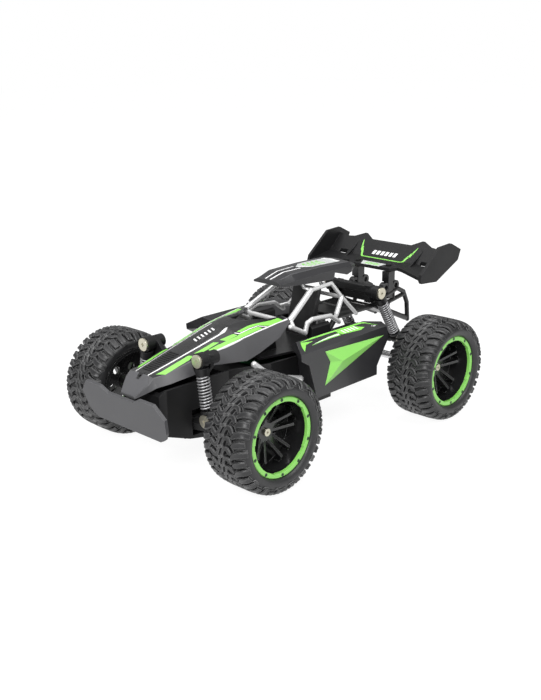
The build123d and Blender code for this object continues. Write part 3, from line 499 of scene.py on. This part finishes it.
def skin_patch(bm, node, outline, way, lift, thickness):
    """Adds the faces of a CAD node that look along way, cut to a convex outline, as a thin sheet."""
    sheet = bmesh.new()
    sheet.from_mesh(nodes[node].data)
    bmesh.ops.remove_doubles(sheet, verts=sheet.verts, dist=WELD)
    away = [f for f in sheet.faces if f.normal.dot(way) < FACING]
    bmesh.ops.delete(sheet, geom=away, context="FACES")
    middle = sum(outline, Vector()) / len(outline)
    for a, b in zip(outline, outline[1:] + outline[:1]):
        out = (b - a).cross(way).normalized()
        if out.dot(a - middle) < 0:
            out = -out
        bmesh.ops.bisect_plane(sheet, geom=sheet.verts[:] + sheet.edges[:] + sheet.faces[:], dist=CUT,
                               plane_co=a, plane_no=out, clear_outer=True)
    tree = TREES[node]
    covered = []
    for face in sheet.faces:
        spot = face.calc_center_median()
        if tree.ray_cast(spot + face.normal * CLEAR + way * CLEAR, way)[0] is not None:
            covered.append(face)
    bmesh.ops.delete(sheet, geom=covered, context="FACES")
    if not sheet.faces:
        sheet.free()
        return
    bmesh.ops.remove_doubles(sheet, verts=sheet.verts, dist=2 * WELD)
    sheet.normal_update()
    low = {v: v.co + v.normal * (lift * MM) for v in sheet.verts}
    high = {v: v.co + v.normal * ((lift + thickness) * MM) for v in sheet.verts}
    bottom = {v: bm.verts.new(p) for v, p in low.items()}
    top = {v: bm.verts.new(p) for v, p in high.items()}
    for face in sheet.faces:
        bm.faces.new([top[v] for v in face.verts])
        bm.faces.new([bottom[v] for v in reversed(face.verts)])
    for edge in sheet.edges:
        if len(edge.link_faces) == 1:
            for corner in edge.link_faces[0].loops:
                if corner.edge == edge:
                    a, b = corner.vert, corner.link_loop_next.vert
                    bm.faces.new((top[b], top[a], bottom[a], bottom[b]))
    sheet.free()


def stripe(points, widths):
    """Convex quads along a line of (x, y) points seen from above, with a width at each point."""
    quads = []
    for (a, wa), (b, wb) in zip(zip(points, widths), zip(points[1:], widths[1:])):
        along = Vector((b[0] - a[0], b[1] - a[1]))
        along.normalize()
        nx, ny = -along.y, along.x
        ex, ey = along.x * OVERLAP, along.y * OVERLAP
        quads.append([(a[0] + nx * wa / 2 - ex, a[1] + ny * wa / 2 - ey),
                      (a[0] - nx * wa / 2 - ex, a[1] - ny * wa / 2 - ey),
                      (b[0] - nx * wb / 2 + ex, b[1] - ny * wb / 2 + ey),
                      (b[0] + nx * wb / 2 + ex, b[1] + ny * wb / 2 + ey)])
    return quads


def printed(name, node, outlines, finish, sides=(1, -1), lift=PRINT_LIFT, thickness=PRINT_THICKNESS):
    """A printed or moulded mark on the top of a CAD node, from convex outlines of (x, y) points."""
    if node not in TREES:
        mesh = nodes[node].data
        TREES[node] = BVHTree.FromPolygons([v.co for v in mesh.vertices],
                                           [p.vertices[:] for p in mesh.polygons])
    bm = bmesh.new()
    for outline in outlines:
        for side in sides:
            skin_patch(bm, node, [at(side * x, y, 0) for x, y in outline], UP, lift, thickness)
    bmesh.ops.recalc_face_normals(bm, faces=bm.faces)
    return piece(name, bm, "chassis", finish)


def add_hood_marks():
    node = "hood_shell"
    edge = [(-38, 11.6), (-29, 13.4), (-9, 15.8), (8, 17.2), (19.4, 19.6), (31, 21.3), (40, 22.2), (55, 23.0),
            (76, 23.9)]
    # the hood's top is dark plastic: this sheet covers the grey shell there, so that only the side facets
    # keep their painted highlight
    printed("hood_black_sheet", node,
            [[(0, y0), (x0, y0), (x1, y1), (0, y1)] for (y0, x0), (y1, x1) in zip(edge, edge[1:])],
            "black_print", thickness=SHEET_THICKNESS)
    printed("hood_spine_lines", node,
            stripe([(6.5, -38), (8, -11.5), (8.9, 6), (9.6, 24)], [0.9, 0.95, 1.0, 1.05])
            + [[(8.9, 24), (10.1, 24), (10.3, 28), (8.3, 32.4), (7.4, 31), (8.4, 26)]],
            "white_print")
    printed("hood_green_lobe", node,
            [[(9.8, -34), (13.8, -29.2), (14.5, -9), (13.6, -5.6), (12.4, -4.8), (10.8, -6.5)]],
            "green_print")
    printed("hood_green_stripe", node, [[(11.7, -2.2), (14.4, 1.6), (14.6, 18), (12.1, 15)]],
            "green_print")
    printed("hood_green_flash", node,
            [[(14.9, 4.6), (17.4, 7.2), (19.4, 19), (15.8, 17)],
             [(15.8, 17), (19.4, 19), (20.9, 33), (17.7, 33), (16.7, 23)],
             [(13.1, 20), (16.7, 23), (17.7, 33), (14.9, 31)],
             [(17.7, 33), (20.9, 33), (21.6, 42), (22.2, 53), (19.2, 51.3)]],
            "green_print")
    printed("hood_green_tail", node,
            [[(14.8, 34.5), (16.7, 36.6), (17.6, 52.3), (15.2, 49.8)],
             [(15.2, 49.8), (17.6, 52.3), (22.9, 59.6), (23.6, 72), (18.6, 72)]],
            "green_print")
    printed("hood_border", node,
            stripe([(17.9, 7.6), (19.8, 19.4), (21.5, 31), (22.4, 40), (23.2, 55), (24.1, 76)],
                   [0.3, 0.8, 0.9, 1.0, 1.1, 1.1])
            + stripe([(14.8, 32.6), (17.3, 34.9), (18.4, 52), (23.0, 57)], [0.8, 0.8, 0.8, 0.9]),
            "white_print")
    bars = []
    for k in range(6):
        y = 8.5 + 3.3 * k
        bars.append([(-2.3, y + 0.9), (2.3, y - 0.5), (2.3, y + 0.9), (-2.3, y + 2.3)])
    printed("hood_chevron_bars", node, bars, "white_print", sides=(1,))
    ribs = []
    for k in range(12):
        y = -33.5 + 2.1 * k
        ribs.append([(-4.6, y), (4.6, y), (4.6, y + 0.9), (-4.6, y + 0.9)])
    printed("hood_grille_ribs", node, ribs, "black_plastic", sides=(1,),
            thickness=RIB_THICKNESS)
    printed("hood_nose_plate", node,
            [[(-8, -38.4), (8, -38.4), (11.6, -42.2), (9.6, -46), (7.2, -50.2), (-7.2, -50.2), (-9.6, -46),
              (-11.6, -42.2)]],
            "grey_panel", sides=(1,), thickness=PLATE_THICKNESS)
    printed("hood_keyhole", node, [[(-1.1, -41.6), (1.1, -41.6), (2.0, -39.4), (1.9, -36.2), (-1.9, -36.2),
                                    (-2.0, -39.4)]],
            "black_print", sides=(1,), lift=KEYHOLE_LIFT)



def add_pod_marks():
    for side, sign in (("left", 1), ("right", -1)):
        node = side + "_side_pod"
        sides = (sign,)
        printed(side + "_pod_line", node,
                stripe([(50.2, 61.8), (49.9, 74.2), (49.8, 85.3), (49.8, 101.1), (49.9, 117.4), (50.0, 127),
                        (51.4, 132.5), (54.6, 141)], [0.5, 1.1, 1.2, 1.2, 1.2, 1.3, 1.1, 0.3])
                + [[(50.5, 61.4), (52.3, 72.5), (53.3, 64), (53.8, 59.1)],
                   [(53.3, 64), (58, 57.8), (53.8, 59.1)]],
                "green_print", sides)
        printed(side + "_pod_sweep", node,
                stripe([(55.2, 68.3), (54.3, 77), (53.6, 88), (53.5, 99.4)], [0.2, 1.1, 1.8, 2.3])
                + [[(50.2, 98), (50.5, 116.7), (54.6, 126.2), (55.9, 120.5), (54.4, 100.9)]],
                "green_print", sides)
        bars = [[(50.9, y), (54.3, y + 1.6), (54.4, y + 3.0), (51.0, y + 1.5)]
                for y in (103, 106.4, 109.8, 113.2, 116.6)]
        printed(side + "_pod_flash", node,
                stripe([(54.9, 70.5), (54.1, 78), (53.5, 88), (53.5, 98.6)], [0.1, 0.45, 0.8, 1.1]) + bars
                + [[(55, 132.6), (55.2, 138.6), (56.3, 136.3)]],
                "white_print", sides, lift=OVERLAY)


def add_roof_marks():
    node = "roof_panel"
    printed("roof_stripes", node, stripe([(2.4, 81), (3.0, 94), (3.7, 112)], [1.3, 1.35, 1.4]),
            "white_print")
    printed("roof_bands", node,
            stripe([(9.6, 83.5), (11.3, 94), (12.0, 125), (12.9, 150)], [0.5, 0.6, 0.6, 0.6])
            + [[(-1.0, 84), (1.0, 84), (1.7, 112), (-1.7, 112)]],
            "grey_panel")
    printed("roof_plate", node, [[(0, 110.5), (7.6, 121), (8.4, 152), (-8.4, 152), (-7.6, 121)]],
            "silver_print", (1,))
    bars = [[(0.2, y), (4.8, y + 3.2), (4.8, y + 5.2), (0.2, y + 2.0)] for y in (119, 124, 129, 134)]
    printed("roof_green_bars", node, bars, "green_print", lift=OVERLAY)
    printed("roof_white_edge", node, [[(-8.4, 148.6), (8.4, 148.6), (8.4, 152), (-8.4, 152)],
                                      [(0.8, 112.5), (6.6, 121), (5.0, 121), (0, 114)]],
            "white_print", (1,), lift=OVERLAY)


def add_wing_marks():
    node = "rear_wing"
    printed("wing_green_line", node,
            stripe([(0, 213.7), (20.2, 213.7), (22.6, 216.8)], [1.7, 1.7, 1.5])
            + [[(21.6, 214.8), (25.2, 219.2), (23.2, 220.0), (21.2, 216.6)],
               [(23.0, 218.4), (25.6, 218.9), (27.0, 222.6), (24.4, 221.8)],
               [(25.0, 221.2), (26.8, 221.4), (28.4, 226.6), (27.6, 226.4)]],
            "green_print")
    bars = []
    for k in range(6):
        x = -12.6 + 4.3 * k
        bars.append([(x, 217.2), (x + 2.9, 217.2), (x + 3.9, 220.2), (x + 1.0, 220.2)])
    printed("wing_white_bars", node, bars, "white_print", (1,))
    printed("wing_plate", node, [[(-9, 198.9), (9, 198.9), (12, 205.6), (-12, 205.6)]],
            "silver_print", (1,))
    greens = [[(x, 200.2), (x + 1.5, 200.2), (x + 2.4, 204.3), (x + 0.9, 204.3)]
              for x in (-6.5, -3.7, -0.9, 1.9, 4.7)]
    printed("wing_green_bars", node, greens, "green_print", (1,), lift=OVERLAY)


# ---------------------------------------------------------------- ring bolts

RING_FACE = 16.0  # how far the ring's face lies from the middle of the wheel
RING_BOLT_RADIUS = 25.35
RING_BOLTS = 10
# a bolt's section from the floor of its socket outwards, as (radius, height above the ring's face)
BOLT = [(0.42, -0.25), (0.5, 0.3), (0.95, 0.3), (1.2, 0.05), (1.2, -0.4)]
BOLT_SIDES = 12


def add_bolt(bm, centre, outward, angle):
    """A small socket head lying on the wheel's ring, its section turned about the bolt's own axis."""
    y0 = RING_BOLT_RADIUS * math.sin(angle)
    z0 = RING_BOLT_RADIUS * math.cos(angle)
    rings = []
    for radius, height in BOLT:
        row = []
        for k in range(BOLT_SIDES):
            turn = 2 * math.pi * k / BOLT_SIDES
            spot = Vector((outward * (RING_FACE + height), y0 + radius * math.cos(turn),
                           z0 + radius * math.sin(turn)))
            row.append(bm.verts.new(centre + spot * MM))
        rings.append(row)
    for a, b in zip(rings, rings[1:]):
        for k in range(BOLT_SIDES):
            n = (k + 1) % BOLT_SIDES
            bm.faces.new((a[k], a[n], b[n], b[k]))
    bm.faces.new(rings[0])
    bm.faces.new(rings[-1])


def add_ring_bolts():
    for name, places, body in (("left_front", [("left_front_tyre", 1)], "left_front_wheel"),
                               ("right_front", [("right_front_tyre", -1)], "right_front_wheel"),
                               ("rear", [("rear_tyres", 1), ("rear_tyres", -1)], "rear_wheels")):
        bm = bmesh.new()
        for node, outward in places:
            lo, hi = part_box(node)
            centre = (lo + hi) / 2
            if node == "rear_tyres":
                centre.x += outward * ((hi.x - lo.x) / 2 - TYRE_HALF_WIDTH * MM)
            for k in range(RING_BOLTS):
                add_bolt(bm, centre, outward, 2 * math.pi * k / RING_BOLTS)
        bmesh.ops.recalc_face_normals(bm, faces=bm.faces)
        piece(name + "_ring_bolts", bm, body, "ring_bolt")


# ---------------------------------------------------------------- shocks

FRONT_SHOCK_TRAVEL = 4.5
REAR_SHOCK_TRAVEL = 8.5
SLEEVE_RADIUS = 3.1
SLEEVE_BORE = 2.3
SLEEVE_SIDES = 24
SHOCK_CAP = 9.9  # from the upper eye to just inside the cap
SHOCK_FOOT = 6.9  # from the lower eye to the lower cap


def add_sleeve(name, top, low, travel, body):
    """The dark barrel inside a coil spring, open to the shock rod below."""
    top, low = at(*top), at(*low)
    along = (low - top).normalized()
    start = top + along * (SHOCK_CAP * MM)
    end = low - along * ((SHOCK_FOOT + travel) * MM)
    across = along.orthogonal().normalized()
    other = along.cross(across)
    bm = bmesh.new()
    rings = []
    for centre, radius in ((start, SLEEVE_BORE), (start, SLEEVE_RADIUS), (end, SLEEVE_RADIUS),
                           (end, SLEEVE_BORE)):
        row = []
        for k in range(SLEEVE_SIDES):
            turn = 2 * math.pi * k / SLEEVE_SIDES
            spoke = across * math.cos(turn) + other * math.sin(turn)
            row.append(bm.verts.new(centre + spoke * (radius * MM)))
        rings.append(row)
    for a, b in zip(rings, rings[1:] + rings[:1]):
        for k in range(SLEEVE_SIDES):
            n = (k + 1) % SLEEVE_SIDES
            bm.faces.new((a[k], a[n], b[n], b[k]))
    bmesh.ops.recalc_face_normals(bm, faces=bm.faces)
    piece(name, bm, body, "black_plastic")


def add_coil(corner, top, low):
    """A copy of the CAD coil spring in spring steel, shown in place of the hidden CAD node."""
    node = corner + "_spring"
    top, low = at(*top), at(*low)
    coil = bpy.data.objects.new(corner + "_coil", nodes[node].data.copy())
    bpy.context.scene.collection.objects.link(coil)
    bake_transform(coil)
    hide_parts(node)
    coil.data.materials.clear()
    coil.data.materials.append(FINISH["spring_steel"])


def add_shocks():
    for side, sign in (("left", 1), ("right", -1)):
        for end, travel, top, low in (
                ("front", FRONT_SHOCK_TRAVEL, (sign * 28.0, -10.5, 79.0), (sign * 33.7, -10.5, 38.4)),
                ("rear", REAR_SHOCK_TRAVEL, (sign * 24.1, WHEELBASE - 0.3, 88.0),
                 (sign * 24.1, WHEELBASE + 25.8, 45.4))):
            corner = side + "_" + end
            add_sleeve(corner + "_shock_sleeve", top, low, travel, corner + "_shock_body")
            add_coil(corner, top, low)


# ---------------------------------------------------------------- build

add_camera()
add_studio()
add_floor()
finish_nodes()
add_tyres()
add_hood_marks()
add_pod_marks()
add_roof_marks()
add_wing_marks()
add_ring_bolts()
add_shocks()
